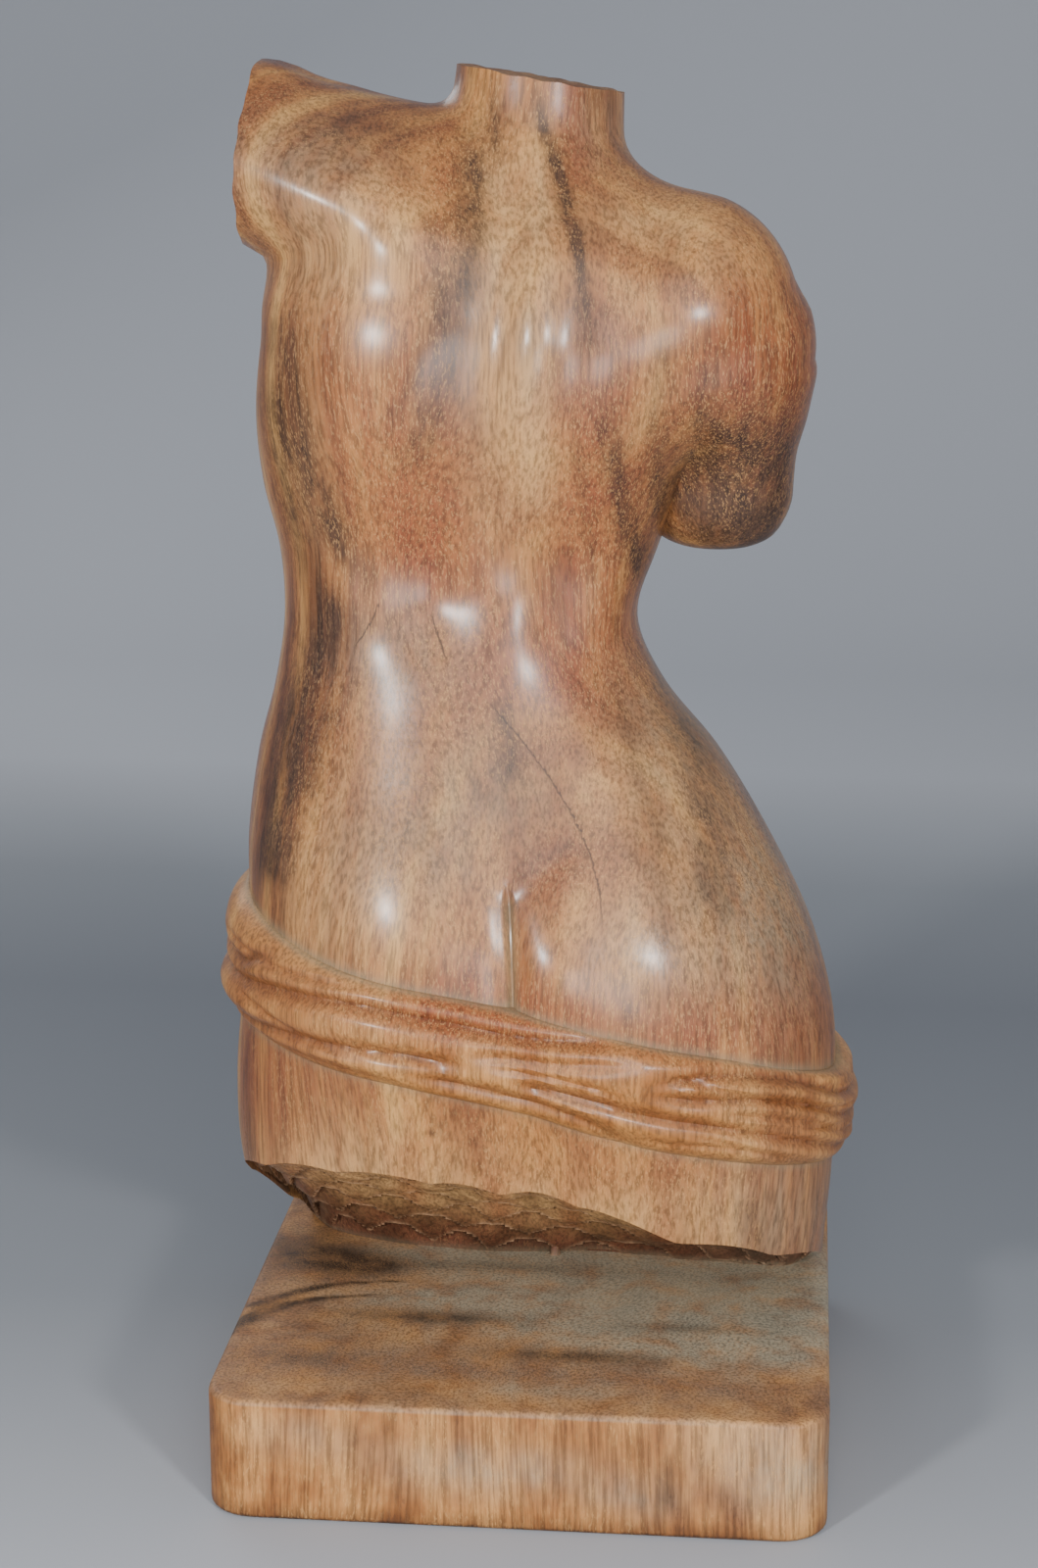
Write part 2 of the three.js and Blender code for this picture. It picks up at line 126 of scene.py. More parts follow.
# Furrows (-) and ridges (+): points of x and height, half width, length of the fading ends, depth.
BACK_LINES = [
    ([(-14, 690), (-17, 640), (-24, 575), (-28, 500), (-30, 440)], 15, 50, -4.5),
    ([(-40, 600), (-46, 540), (-58, 470), (-62, 410), (-56, 380)], 17, 50, -3.5),
    ([(26, 630), (19, 570), (10, 480), (4, 410)], 13, 50, -2.5),
    ([(-133, 375), (-143, 330), (-151, 285)], 5, 25, -1.5),
    ([(-13, 290), (-11, 250), (-9, 215), (-8, 160)], 9, 40, -4),
    ([(-13, 274), (-11, 250), (-9, 215), (-8, 160)], 1.8, 14, -3.2),
    ([(-13, 258), (-26, 274), (-48, 292)], 10, 14, -0.8),
    ([(-13, 254), (4, 276), (32, 302)], 10, 18, -1.2),
]
FRONT_LINES = [([(-10, 200), (-6, 100), (-4, -40)], 14, 40, -10)]

# Line inside the trunk that follows the spine and the cleft: height and x.
CORE = [
    (-20, -8),
    (160, -8),
    (215, -9),
    (250, -11),
    (270, -13),
    (350, -24),
    (430, -30),
    (500, -28),
    (580, -22),
]
FAN_HEIGHT = 580

# Cloth: height of its top and bottom edge at eight places, from her right round by the front.
CLOTH_TOP = [146, 174, 212, 240, 250, 222, 204, 178]
CLOTH_BOTTOM = [90, 106, 130, 158, 177, 159, 141, 114]
CLOTH_BULK = 15
CLOTH_EDGE = 1.5
CLOTH_SINK = 12

# Grooves between the rolls of the cloth: degrees round the figure from her right by the front, and
# the place across the band (0 top, 1 bottom), then the depth.
GROOVES = [
    ([(298, 0.4), (305, 0.29), (320, 0.14), (335, 0.1), (348, 0.25), (360, 0.27), (405, 0.33),
      (450, 0.3), (495, 0.36), (540, 0.42), (559, 0.39), (567, 0.2), (576, 0.02)], 8),
    ([(298, 0.43), (312, 0.41), (320, 0.37), (335, 0.32), (348, 0.49), (360, 0.52), (405, 0.5),
      (450, 0.55), (495, 0.52), (540, 0.6), (559, 0.54), (575, 0.35), (590, 0.22), (608, 0.2),
      (627, 0.2), (647, 0.09), (660, 0)], 8),
    ([(265, 0.65), (287, 0.62), (305, 0.64), (320, 0.65), (335, 0.71), (348, 0.84), (360, 0.82),
      (405, 0.76), (450, 0.74), (495, 0.8), (540, 0.86), (559, 0.87), (575, 0.74), (590, 0.64),
      (608, 0.58), (620, 0.55)], 8),
    ([(238, 0.78), (248, 0.78), (267, 0.79), (287, 0.83), (299, 0.93), (308, 0.99)], 7),
    ([(312, 0.52), (320, 0.5), (335, 0.51), (348, 0.66), (360, 0.68), (392, 0.66)], 6.5),
    ([(190, 0.99), (199, 0.97), (215, 0.91), (230, 0.91), (240, 0.95), (246, 1)], 4),
    ([(60, 0.16), (90, 0.13), (130, 0.2), (160, 0.22)], 6),
    ([(254, 0.47), (267, 0.4), (280, 0.33), (290, 0.24), (302, 0.15)], 5),
]
GROOVE_WIDTH = 10.5
# Thin creases on the rolls, drawn the same way.
CREASES = [
    ([(222, 0.52), (228, 0.55), (235, 0.56), (243, 0.6), (251, 0.64), (258, 0.66)], 4.5),
    ([(258, 0.53), (268, 0.51), (278, 0.48), (286, 0.46), (293, 0.49), (302, 0.52)], 4),
    ([(300, 0.2), (310, 0.22), (320, 0.3), (330, 0.33), (345, 0.38), (362, 0.4)], 4.5),
    ([(316, 0.6), (330, 0.6), (345, 0.58), (360, 0.58), (378, 0.56)], 4.5),
    ([(296, 0.85), (308, 0.88), (322, 0.84), (340, 0.95)], 3.5),
    ([(192, 0.64), (205, 0.62), (215, 0.66), (224, 0.72), (238, 0.72)], 4),
    ([(186, 0.3), (198, 0.26), (210, 0.2), (222, 0.12), (236, 0.05)], 4.5),
    ([(180, 0.55), (190, 0.48), (200, 0.45), (212, 0.42)], 3.5),
    ([(305, 0.75), (318, 0.78), (332, 0.88)], 3),
    ([(330, 0.2), (342, 0.16), (356, 0.14), (372, 0.2)], 3.5),
    ([(20, 0.6), (50, 0.64), (90, 0.62), (120, 0.66)], 4),
    ([(100, 0.88), (130, 0.84), (160, 0.86), (185, 0.8)], 3),
]
CREASE_WIDTH = 5.5
GROOVE_FADE = 14

# Rim of the hewn undercut: degrees round the core, and height. The foot's line on the plinth:
# degrees of the same column, x and y.
RIM = [
    (152, 0), (165, 20), (176, 44), (188, 69), (203.5, 87), (219, 93), (234, 92), (248, 90),
    (263, 86), (277, 84), (291, 79), (304, 68), (316, 56), (329, 48), (338, 39), (348, 30),
    (360, 19), (380, 0),
]
FOOT = [
    (152, -160, 110), (188, -150, 92), (203, -139, 78), (215, -120, 68), (234, -87, 58),
    (252, -55, 54), (265, -36, 52), (285, 0, 55), (300, 25, 59), (318, 65, 55), (330, 87, 51),
    (343, 120, 47), (352, 145, 46), (363, 160, 60), (380, 168, 92),
]
# Ends of the gouge strokes along the rim, in degrees round the core.
STROKES = [152, 168, 185, 203.5, 219, 242, 264.4, 290.3, 316.5, 335, 352, 368, 380]
STROKE_DOME = 2.8
STROKE_PITCH = 23
STROKE_BOW = 13
STROKE_DEPTH = 9

# The arm that hangs from her right shoulder: height, x, y, half width and half depth.
HANGING_ARM = [
    (448.4, 99, 58, 0.5, 0.5),
    (448.6, 99, 58, 14, 15),
    (450, 98.5, 58, 23, 25),
    (455, 98, 57.5, 33, 34),
    (464, 97.5, 56, 40, 41),
    (476, 98, 53, 44, 44.5),
    (490, 97.5, 49, 45.5, 46),
    (506, 95, 44, 49.5, 51),
    (525, 91, 37, 58.5, 60.5),
    (540, 89, 31, 63.5, 64.5),
    (554, 89.5, 27.5, 65.3, 65.3),
    (562, 89.3, 27, 64.2, 64.2),
    (570, 89, 26, 61, 61),
    (580, 87, 25, 54, 54),
    (592, 87, 25, 42, 42),
]

# Saw cuts: a point on the plane and its outward direction.
NECK_CUT = ((-4, 50, 716), (0.17, 0, 1))
ARM_CUT = ((-171, 30, 640), (-1, 0, 0.09))

# Colour of the wood on the back, drawn like the relief, with a few dark marks of painted shade:
# patches (x, height, reach across, reach up, strength) and streaks (points of x and height, half
# width, fading ends, strength).
STAINS = {
    "dark": (
        # The third and fourth patches darken the hanging arm: its darker olive wood and painted
        # shade.
        [(-22, 345, 22, 34, 0.35), (-100, 690, 50, 16, 0.4), (118, 476, 46, 44, 1.1),
         (112, 515, 40, 34, 0.5),
         (70, 610, 22, 12, 0.2), (140, 560, 20, 40, 0.2), (58, 205, 3, 11, 0.9),
         (-56, 125, 3, 2, 1),
         # Painted shadow: a dark line along the plinth's lower edge, where it meets the floor.
         (-20, -72, 400, 4, 1)],
        [
            # Painted shade: a dark line in the crease between the hanging arm and the back.
            ([(74, 466), (82, 492), (92, 510), (104, 536)], 7, 14, 0.9),
            ([(-144, 600), (-139, 560), (-131, 510), (-110, 454), (-92, 425)], 11, 30, 0.95),
            ([(-154, 560), (-147, 500), (-132, 440), (-118, 410)], 9, 30, 0.8),
            ([(-116, 440), (-124, 400), (-136, 371), (-147, 325), (-153, 280),
              (-158, 245)], 15, 30, 1.1),
            ([(-96, 400), (-118, 360), (-134, 300)], 8, 25, 0.35),
            ([(-42, 705), (-37, 652), (-40, 604), (-47, 565), (-60, 528), (-76, 490)], 10, 40, 0.9),
            ([(-62, 655), (-54, 620), (-60, 570), (-84, 520)], 6, 20, 0.5),
            ([(-11, 722), (2, 686), (15, 652), (25, 615), (31, 560)], 5, 30, 1.1),
            ([(-30, 720), (-26, 690), (-20, 655)], 5, 20, 0.6),
            ([(26, 722), (30, 690)], 6, 14, 0.5),
            ([(36, 560), (44, 500), (56, 440), (66, 410)], 7, 40, 0.8),
            ([(74, 600), (70, 560), (66, 500), (70, 450)], 5, 30, 0.5),
            ([(100, 575), (92, 548), (86, 520)], 5, 14, 0.5),
            ([(20, 540), (27, 480), (30, 420)], 4, 30, 0.4),
            ([(52, 410), (74, 372), (92, 325), (102, 280), (104, 230)], 11, 40, 0.55),
            ([(34, 395), (52, 350), (70, 300), (78, 262)], 5, 25, 0.4),
            ([(-20, 380), (-14, 345), (-8, 315)], 7, 18, 0.5),
            ([(16, 330), (30, 300), (24, 262)], 6, 20, 0.3),
            ([(-104, 40), (-96, 90), (-94, 130)], 5, 20, 0.35),
            ([(-62, 30), (-50, 80), (-48, 118)], 4, 20, 0.3),
            ([(44, 20), (46, 60), (52, 100)], 5, 20, 0.25),
            ([(128, 0), (132, 40), (126, 90)], 7, 20, 0.45),
            ([(84, -18), (110, -36), (140, -58)], 4, 8, 0.7),
            ([(112, -24), (150, -40)], 6, 5, 0.5),
            ([(-90, -10), (-84, -60)], 4, 12, 0.25),
        ],
    ),
    "red": (
        [(34, 500, 28, 90, 0.8), (125, 545, 40, 55, 0.9), (-86, 545, 34, 55, 0.55),
         (-12, 385, 70, 34, 0.8),
         (-30, 205, 85, 20, 0.9), (118, 190, 60, 24, 0.8), (-60, 440, 40, 40, 0.4),
         (20, 280, 34, 26, 0.4),
         (-64, 470, 30, 60, 0.4), (150, 480, 40, 50, 0.3), (-150, 120, 30, 50, 0.3),
         (60, 100, 90, 18, 0.4)],
        [
            ([(12, 730), (16, 690), (22, 650)], 9, 20, 0.6),
            ([(-58, 700), (-52, 650), (-58, 600)], 9, 30, 0.5),
            ([(-80, 40), (-74, 90), (-72, 130)], 9, 20, 0.5),
            ([(-26, 30), (-22, 80), (-20, 110)], 8, 20, 0.5),
            ([(18, 20), (20, 60), (24, 100)], 7, 20, 0.5),
            ([(72, 10), (76, 50), (82, 90)], 8, 20, 0.5),
        ],
    ),
    "pale": (
        [(-104, 626, 46, 36, 0.6), (-16, 540, 26, 80, 0.5), (-20, 70, 150, 34, 0.55),
         (60, 640, 40, 16, 0.5), (-110, 250, 46, 60, 0.4),
         (70, 330, 40, 40, 0.35), (64, 240, 40, 40, 0.4), (-20, 640, 18, 50, 0.5),
         (-100, 90, 60, 40, 0.5),
         (30, 60, 60, 40, 0.3), (100, 620, 30, 20, 0.3), (-130, 500, 16, 70, 0.3)],
        [([(-2, 700), (2, 650), (4, 600), (2, 540), (4, 470)], 9, 30, 0.4)],
    ),
    "grey": (
        [(-130, 672, 44, 26, 0.6), (-78, 398, 50, 30, 0.6), (92, 372, 44, 54, 0.7),
         (-40, 320, 60, 44, 0.5),
         (118, 470, 50, 60, 0.5), (110, 250, 50, 40, 0.35), (-80, 280, 50, 30, 0.3),
         (16, 580, 40, 30, 0.3),
         (140, 60, 50, 60, 0.6), (40, 690, 30, 30, 0.4), (120, 300, 50, 70, 0.4),
         (150, 230, 40, 60, 0.5),
         (150, -30, 44, 22, 0.5), (-16, -34, 60, 14, 0.45), (70, -48, 26, 12, 0.4),
         (-120, -20, 30, 10, 0.3)],
        [],
    ),
}

# The plinth's top, weathered end grain: the same, with the way in from its open edge as the height.
TOP_STAINS = {
    "dark": (
        [(-152, 215, 30, 30, 0.9), (-114, 196, 26, 18, 1.2), (-60, 122, 50, 9, 0.8),
         (30, 76, 50, 8, 0.8),
         (-30, 200, 70, 9, 0.5), (90, 120, 40, 6, 0.5), (-130, 60, 30, 10, 0.4)],
        [
            ([(-180, 86), (-164, 116), (-134, 141), (-86, 153), (-80, 154)], 7, 6, 1.5),
            ([(-172, 122), (-150, 147), (-120, 166), (-80, 174), (-60, 176)], 6, 6, 1.5),
        ],
    ),
    "red": (
        [(-100, 60, 90, 30, 0.8), (40, 50, 90, 14, 0.7), (-130, 185, 50, 40, 0.6),
         (120, 40, 60, 12, 0.6),
         (-60, 140, 60, 10, 0.5)],
        [],
    ),
    "pale": (
        [(-40, 30, 80, 12, 0.5)],
        [([(-178, 102), (-155, 133), (-127, 153), (-90, 164), (-76, 166)], 7, 8, 1.8)],
    ),
    "grey": (
        [(60, 150, 110, 46, 1), (0, 215, 100, 26, 1), (120, 100, 70, 30, 0.8),
         (-60, 150, 60, 12, 0.5),
         (150, 200, 50, 60, 0.9), (20, 30, 60, 10, 0.3), (0, 100, 300, 300, 0.35)],
        [],
    ),
}

# Drying cracks on the back: points of x and height.
CRACK_REACH = 200
CRACKS = [
    [(42, 250), (37, 280), (24, 308), (9, 330), (-12, 356), (-32, 377)],
    [(-106, 399), (-97, 412), (-90, 427)],
    [(-51, 394), (-56, 406), (-61, 420)],
]

# Fineness: columns round the trunk, and rows from the plinth to the neck.
SKIN_COLUMNS = 232
FAN_ROWS = 56
LEVEL_ROWS = 132
UNDERCUT_ROWS = 84
CLOTH_COLUMNS = 430
CLOTH_ROWS = 46
ARM_SIDES = 80
ARM_ROWS = 36


def smooth_step(share):
    """0 to 1 with level ends: 3 t squared less 2 t cubed, t held between 0 and 1."""
    t = np.clip(share, 0, 1)
    return t * t * (3 - 2 * t)


def read_table(rows, at):
    """Cubic through the rows of a table at uneven steps. The first column is the place, and each
    row's slope is that between its two neighbours. Gives all other columns."""
    rows = np.asarray(rows, float)
    place, value = rows[:, 0], rows[:, 1:]
    before = np.maximum(np.arange(len(rows)) - 1, 0)
    after = np.minimum(np.arange(len(rows)) + 1, len(rows) - 1)
    slope = (value[after] - value[before]) / (place[after] - place[before])[:, None]
    at = np.clip(at, place[0], place[-1])
    i = np.clip(np.searchsorted(place, at) - 1, 0, len(rows) - 2)
    step = (place[i + 1] - place[i])[..., None]
    t = (at - place[i])[..., None] / step
    return (
        (2 * t**3 - 3 * t**2 + 1) * value[i]
        + (t**3 - 2 * t**2 + t) * step * slope[i]
        + (3 * t**2 - 2 * t**3) * value[i + 1]
        + (t**3 - t**2) * step * slope[i + 1]
    )


def read_ring(values, angle):
    """Smooth closed curve through values at even angles round a circle (Catmull-Rom)."""
    values = np.asarray(values, float)
    n = len(values)
    at = angle / (2 * math.pi) * n % n
    i = np.floor(at).astype(int)
    t = at - i
    a, b, c, d = (values[(i + k) % n] for k in (-1, 0, 1, 2))
    return b + 0.5 * t * (c - a + t * (2 * a - 5 * b + 4 * c - d + t * (3 * (b - c) + d - a)))


# The slow tables are read once at every half millimetre of height.
HEIGHTS = np.arange(-20, 701, 0.5)
DENSE_SECTIONS = read_table(SECTIONS, HEIGHTS)


def section_at(z):
    """Middle, half sizes right, left, front, back, and squareness of the level section at z."""
    columns = DENSE_SECTIONS.T
    left, right, back, front, square = (np.interp(z, HEIGHTS, column) for column in columns)
    x, y = (left + right) / 2, (back + front) / 2
    return x, y, right - x, x - left, front - y, y - back, square


def trunk_distance(x, y, z):
    """Distance outwards from the level section: the way from its middle less the radius of a
    rounded box, |cos/a|^n + |sin/b|^n to the power -1/n, with half sizes that differ by side."""
    mx, my, right, left, front, back, n = section_at(z)
    dx, dy = x - mx, y - my
    away = np.hypot(dx, dy) + 1e-9
    c, s = dx / away, dy / away
    across = left + (right - left) * (1 + c) / 2
    along = back + (front - back) * (1 + s) / 2
    radius = (np.abs(c / across) ** n + np.abs(s / along) ** n) ** (-1 / n)
    return away - radius + np.maximum(0, z - SECTIONS[-1][0])


def mass_distance(x, y, z, start, end, radii):
    """Distance from the line between two points, less a radius that changes evenly along it."""
    axis = np.subtract(end, start).astype(float)
    arm = (x - start[0], y - start[1], z - start[2])
    share = np.clip(sum(a * b for a, b in zip(arm, axis)) / (axis @ axis), 0, 1)
    off = sum((a - b * share) ** 2 for a, b in zip(arm, axis)) ** 0.5
    return off - (radii[0] + (radii[1] - radii[0]) * share)


def line_relief(x, z, path, width, fade, depth):
    """Bell across a path x(z), fading out over a length at both its ends."""
    path = sorted((pz, px) for px, pz in path)
    low, high = path[0][0], path[-1][0]
    middle = np.interp(z, HEIGHTS, read_table(path, HEIGHTS)[:, 0])
    ends = smooth_step((z - low) / fade) * smooth_step((high - z) / fade)
    return depth * np.exp(-(((x - middle) / width) ** 2)) * ends


def relief(x, y, z, with_lines):
    """Carved relief of the back and the front, fading out at the flanks."""
    _, my, _, _, front, back, _ = section_at(z)
    behind = y < my
    strength = smooth_step((np.abs((y - my) / np.where(behind, back, front)) - 0.1) / 0.6)
    sides = []
    for spots, lines in ((BACK_RELIEF, BACK_LINES), (FRONT_RELIEF, FRONT_LINES)):
        total = 0
        for cx, cz, across, up, depth in spots:
            total = total + depth * np.exp(-(((x - cx) / across) ** 2) - ((z - cz) / up) ** 2)
        for line in lines if with_lines else ():
            total = total + line_relief(x, z, *line)
        sides.append(total)
    return strength * np.where(behind, *sides)


def skin_distance(x, y, z, with_lines=True):
    """Distance to the skin, negative inside: the trunk and the round masses, melted together by
    min(a, b) - h squared times melt / 4 with h the overlap's share, less the carved relief."""
    d = trunk_distance(x, y, z)
    for start, end, radii, melt in MASSES:
        other = mass_distance(x, y, z, start, end, radii)
        h = np.maximum(melt - np.abs(d - other), 0) / melt
        d = np.minimum(d, other) - h * h * melt / 4
    return d - relief(x, y, z, with_lines)


RAY_STEP = 5.0
RAY_END = 330
HALVINGS = 12


def cast_rays(origin, direction, with_lines=True):
    """First point where each ray from inside leaves the skin: even steps, then halving."""
    shape = np.broadcast_shapes(origin.shape, direction.shape)
    origin = np.broadcast_to(origin, shape).reshape(-1, 3)
    direction = np.broadcast_to(direction, shape).reshape(-1, 3)
    high = np.full(len(origin), RAY_STEP)
    going = np.arange(len(origin))
    while len(going) and high[going[0]] < RAY_END:
        at = origin[going] + direction[going] * high[going, None]
        going = going[skin_distance(*at.T, with_lines) < 0]
        high[going] += RAY_STEP
    low = high - RAY_STEP
    for _ in range(HALVINGS):
        middle = (low + high) / 2
        inside = skin_distance(*(origin + direction * middle[:, None]).T, with_lines) < 0
        low = np.where(inside, middle, low)
        high = np.where(inside, high, middle)
    return (origin + direction * low[:, None]).reshape(shape)


def column_angles():
    """Directions of the columns: closer together on the back, and closest along the cleft."""
    angle = np.linspace(0, 2 * math.pi, 7201)
    degrees = np.degrees(angle)
    crowd = 1 - 0.25 * np.sin(angle) + 1.6 * np.exp(-(((degrees - 270) / 3.5) ** 2))
    total = np.concatenate([[0], np.cumsum((crowd[1:] + crowd[:-1]) / 2)])
    return np.interp(np.arange(SKIN_COLUMNS) / SKIN_COLUMNS, total / total[-1], angle)


def stroke_places(degrees, course):
    """Place across the gouge stroke, -1 to 1, at an angle round the core; every second course is
    shifted by half a stroke."""
    count = np.interp(degrees, STROKES, np.arange(len(STROKES)))
    return 2 * ((count + 0.5 * course) % 1) - 1


def core_points(z):
    """Points of the line inside the trunk."""
    return np.stack([read_table(CORE, z)[..., 0], section_at(z)[1], z], -1)


def level_directions(angle):
    return np.stack([np.cos(angle), np.sin(angle), 0 * angle], -1)


def carved_skin():
    """Skin, rim and undercut as one grid of rows from the neck down to the foot.

    The fan's rows rise from one point of the core; the level rows sink from it to the rim,
    which dips between the gouge strokes. The undercut's rows go from the rim to the foot's line,
    pressed in by lapped scallops: each course is deepest behind its bowed edge. Gives the grid,
    and 1 for a point on such an edge, down to -0.8 for one in the shade behind it."""
    angle = column_angles()
    rise = np.radians(np.linspace(84, 0, FAN_ROWS, endpoint=False))[:, None]
    fan = np.stack(
        [np.cos(rise) * np.cos(angle), np.cos(rise) * np.sin(angle), np.sin(rise) + 0 * angle], -1
    )
    fan_rows = cast_rays(core_points(np.full((1, 1), float(FAN_HEIGHT))), fan)

    degrees = np.degrees(angle)
    degrees = np.where(degrees < 90, degrees + 360, degrees)
    rim = np.maximum(read_table(RIM, degrees)[:, 0], 0)
    dome = 1 - stroke_places(degrees, 0) ** 2
    domed = rim + STROKE_DOME * dome * smooth_step(rim / 20)
    rim = np.where((degrees > RIM[0][0]) & (degrees < RIM[-1][0]), domed, 0)
    share = np.linspace(0, 1, LEVEL_ROWS)[:, None]
    z = FAN_HEIGHT + (rim - FAN_HEIGHT) * share
    level_rows = cast_rays(core_points(z), level_directions(angle) + 0 * z[..., None])

    edge = level_rows[-1]
    under = np.concatenate([read_table(FOOT, degrees), np.full((len(angle), 1), -3.0)], 1)
    sunk = cast_rays(core_points(np.full(len(angle), -4.0)), level_directions(angle))
    at_back = smooth_step((degrees - 150) / 8) * smooth_step((382 - degrees) / 8)
    foot = sunk + (under - sunk) * at_back[:, None]
    t = (np.linspace(0, 1, UNDERCUT_ROWS + 1)[1:, None]) ** 1.1
    run = foot - edge
    length = np.linalg.norm(run, axis=1)
    out = t * length
    hollow, crest = np.zeros_like(out), np.zeros_like(out)
    for course in range(7):
        place = stroke_places(degrees, course) + 0 * out
        behind = out - (course * STROKE_PITCH + (course > 0) * STROKE_BOW * (place**2 - 0.3))
        depth = (1 - 0.6 * place**2) * np.clip(1 - 0.9 * behind / STROKE_PITCH, 0.1, 1)
        hollow = np.where(behind >= 0, depth, hollow)
        # The finish paints the edge line as a highlight over pale worn wood, and the hollow behind
        # it as painted shade.
        lit = np.exp(-((behind / 2.2) ** 2)) * (course > 0)
        shade = 0.8 * (behind > 2) * np.clip(1 - (behind - 2) / 9, 0, 1) * (1 - place**2)
        crest = np.where(behind > -5, np.where(lit > shade, lit, -shade), crest)
    hollow *= STROKE_DEPTH * smooth_step(length / 60)
    hollow *= smooth_step((1 - t) / 0.12) * smooth_step(out / 5)
    rows = edge + run * t[..., None]
    sag = 0.12 * length * np.sin(math.pi * t) * smooth_step(length / 80)
    rows[..., 2] += 0.85 * hollow + 0.5 * sag
    rows[..., 1] += 0.4 * hollow
    root = foot.copy()
    root[:, 2] = -ROOT_DEPTH
    grid = np.concatenate([fan_rows, level_rows, rows, root[None]])
    crests = np.zeros(grid.shape[:2])
    crests[-len(rows) - 1 : -1] = crest * smooth_step(length / 40) * smooth_step((1 - t) / 0.1)
    return grid, crests


def groove_depth(angle, across, band):
    """Depth of the cloth's grooves, each (1 - off) squared across its width, crossing as the root
    of their squares' sum."""
    cut = np.zeros(np.broadcast_shapes(np.shape(angle), np.shape(across)))
    for courses, width in ((GROOVES, GROOVE_WIDTH), (CREASES, CREASE_WIDTH)):
        for course, depth in courses:
            for turn in (0, 360):
                at = np.degrees(angle) + turn
                inside = np.minimum(at - course[0][0], course[-1][0] - at)
                off = np.hypot((across - read_table(course, at)[..., 0]) * band / width, 0.1)
                side = (1 - np.minimum(1, off)) ** 2 * smooth_step(inside / GROOVE_FADE)
                cut = np.hypot(cut, depth * side)
    return cut


def cloth_height(angle, across, band):
    """Lift of the cloth: a broad bulge with steep-sided grooves, each (1 - off) squared deep."""
    bulge = CLOTH_EDGE + (CLOTH_BULK - CLOTH_EDGE) * (1 - np.abs(2 * across - 1) ** 4.5)
    return bulge - groove_depth(angle, across, band)


def twisted_cloth():
    """Ring of cloth: the skin without its furrows, lifted by cloth_height, and closed inside it."""
    angle = np.arange(CLOTH_COLUMNS) / CLOTH_COLUMNS * 2 * math.pi
    across = np.concatenate([[0, 1], np.linspace(1, 0, CLOTH_ROWS + 1)])[:, None] + 0 * angle
    across[2:] = 0.5 + 0.5 * np.sin((across[2:] - 0.5) * 2.6) / math.sin(1.3)
    top, bottom = read_ring(CLOTH_TOP, angle), read_ring(CLOTH_BOTTOM, angle)
    z = top + (bottom - top) * across
    mx, my = section_at(z)[:2]
    outwards = level_directions(angle) + 0 * z[..., None]
    skin = cast_rays(np.stack([mx, my, z], -1), outwards, False)
    lift = cloth_height(angle + 0 * across, across, top - bottom)
    lift[:2] = -CLOTH_SINK
    return skin + outwards * lift[..., None]


def hanging_arm():
    """Rings along the arm's axis from its rounded end up into the shoulder."""
    z = np.concatenate([np.linspace(448.4, 456, 9)[:-1], np.linspace(456, 592, ARM_ROWS)])[:, None]
    x, y, wide, deep = np.moveaxis(read_table(HANGING_ARM, z), -1, 0)
    angle = np.arange(ARM_SIDES) / ARM_SIDES * 2 * math.pi
    return np.stack([x + wide * np.cos(angle), y + deep * np.sin(angle), z + 0 * angle], -1)[::-1]


def grid_mesh(name, rows, looped=False, lift=PLINTH_HEIGHT):
    """Mesh of a grid closed round each row, with a point in the middle of its first and last row,
    or with those rows joined to each other when looped."""
    count, columns = rows.shape[:2]
    points = rows.reshape(-1, 3)
    i, j = np.meshgrid(np.arange(count if looped else count - 1), np.arange(columns), indexing="ij")
    down, right = (i + 1) % count, (j + 1) % columns
    faces = np.stack(
        [i * columns + j, down * columns + j, down * columns + right, i * columns + right], -1
    ).reshape(-1, 4)
    polygons = faces.tolist()
    if not looped:
        first, last = len(points), len(points) + 1
        points = np.concatenate([points, [rows[0].mean(0)], [rows[-1].mean(0)]])
        ring = np.arange(columns)
        polygons += np.stack([ring, np.roll(ring, -1), np.full(columns, first)], 1).tolist()
        low = (count - 1) * columns + ring
        polygons += np.stack([np.roll(low, -1), low, np.full(columns, last)], 1).tolist()
    points = (points + [0, 0, lift]) * MM
    mesh = bpy.data.meshes.new(name)
    mesh.from_pydata(points.tolist(), [], polygons)
    mesh.update()
    piece = bpy.data.objects.new(name, mesh)
    bpy.context.scene.collection.objects.link(piece)
    return piece


def block_plinth():
    """Grid from the middle of the top, over a rounded edge, down the sides and under to the
    middle: each row is a rounded square, the points at an inset and a height along the profile."""
    turn = np.linspace(0, math.pi / 2, 5)
    profile = [(float(inset), 0) for inset in np.linspace(170, 9, 36)]
    round_off = [(PLINTH_EDGE * (1 - math.sin(a)), PLINTH_EDGE * (1 - math.cos(a))) for a in turn]
    profile += [(inset, -drop) for inset, drop in round_off]
    profile += [(0, -h) for h in (16, 27, 38, 49, 60)]
    profile += [(drop, inset - PLINTH_HEIGHT) for inset, drop in round_off]
    profile += [(30, -PLINTH_HEIGHT), (100, -PLINTH_HEIGHT), (170, -PLINTH_HEIGHT)]
    inset, z = (np.array(v, float)[:, None] for v in zip(*profile))
    side = np.linspace(-1, 1, 57)[:-1]
    corner = np.linspace(0, math.pi / 2, 9)[:-1]
    ring = []
    for quarter in range(4):
        c, s = math.cos(quarter * math.pi / 2), math.sin(quarter * math.pi / 2)
        flat_x, flat_y = np.ones_like(side), side * (1 - 2 * PLINTH_CORNER / PLINTH_WIDTH)
        off = 1 - 2 * PLINTH_CORNER / PLINTH_WIDTH
        round_x = off + (1 - off) * np.cos(corner)
        round_y = off + (1 - off) * np.sin(corner)
        x, y = np.concatenate([flat_x, round_x]), np.concatenate([flat_y, round_y])
        ring.append(np.stack([c * x - s * y, s * x + c * y], -1))
    ring = np.concatenate(ring)
    half = np.array([PLINTH_WIDTH / 2, PLINTH_DEPTH / 2])
    level = ring * (half - inset[..., None])
    return np.concatenate([level, np.broadcast_to(z[..., None], level.shape[:2] + (1,))], -1)


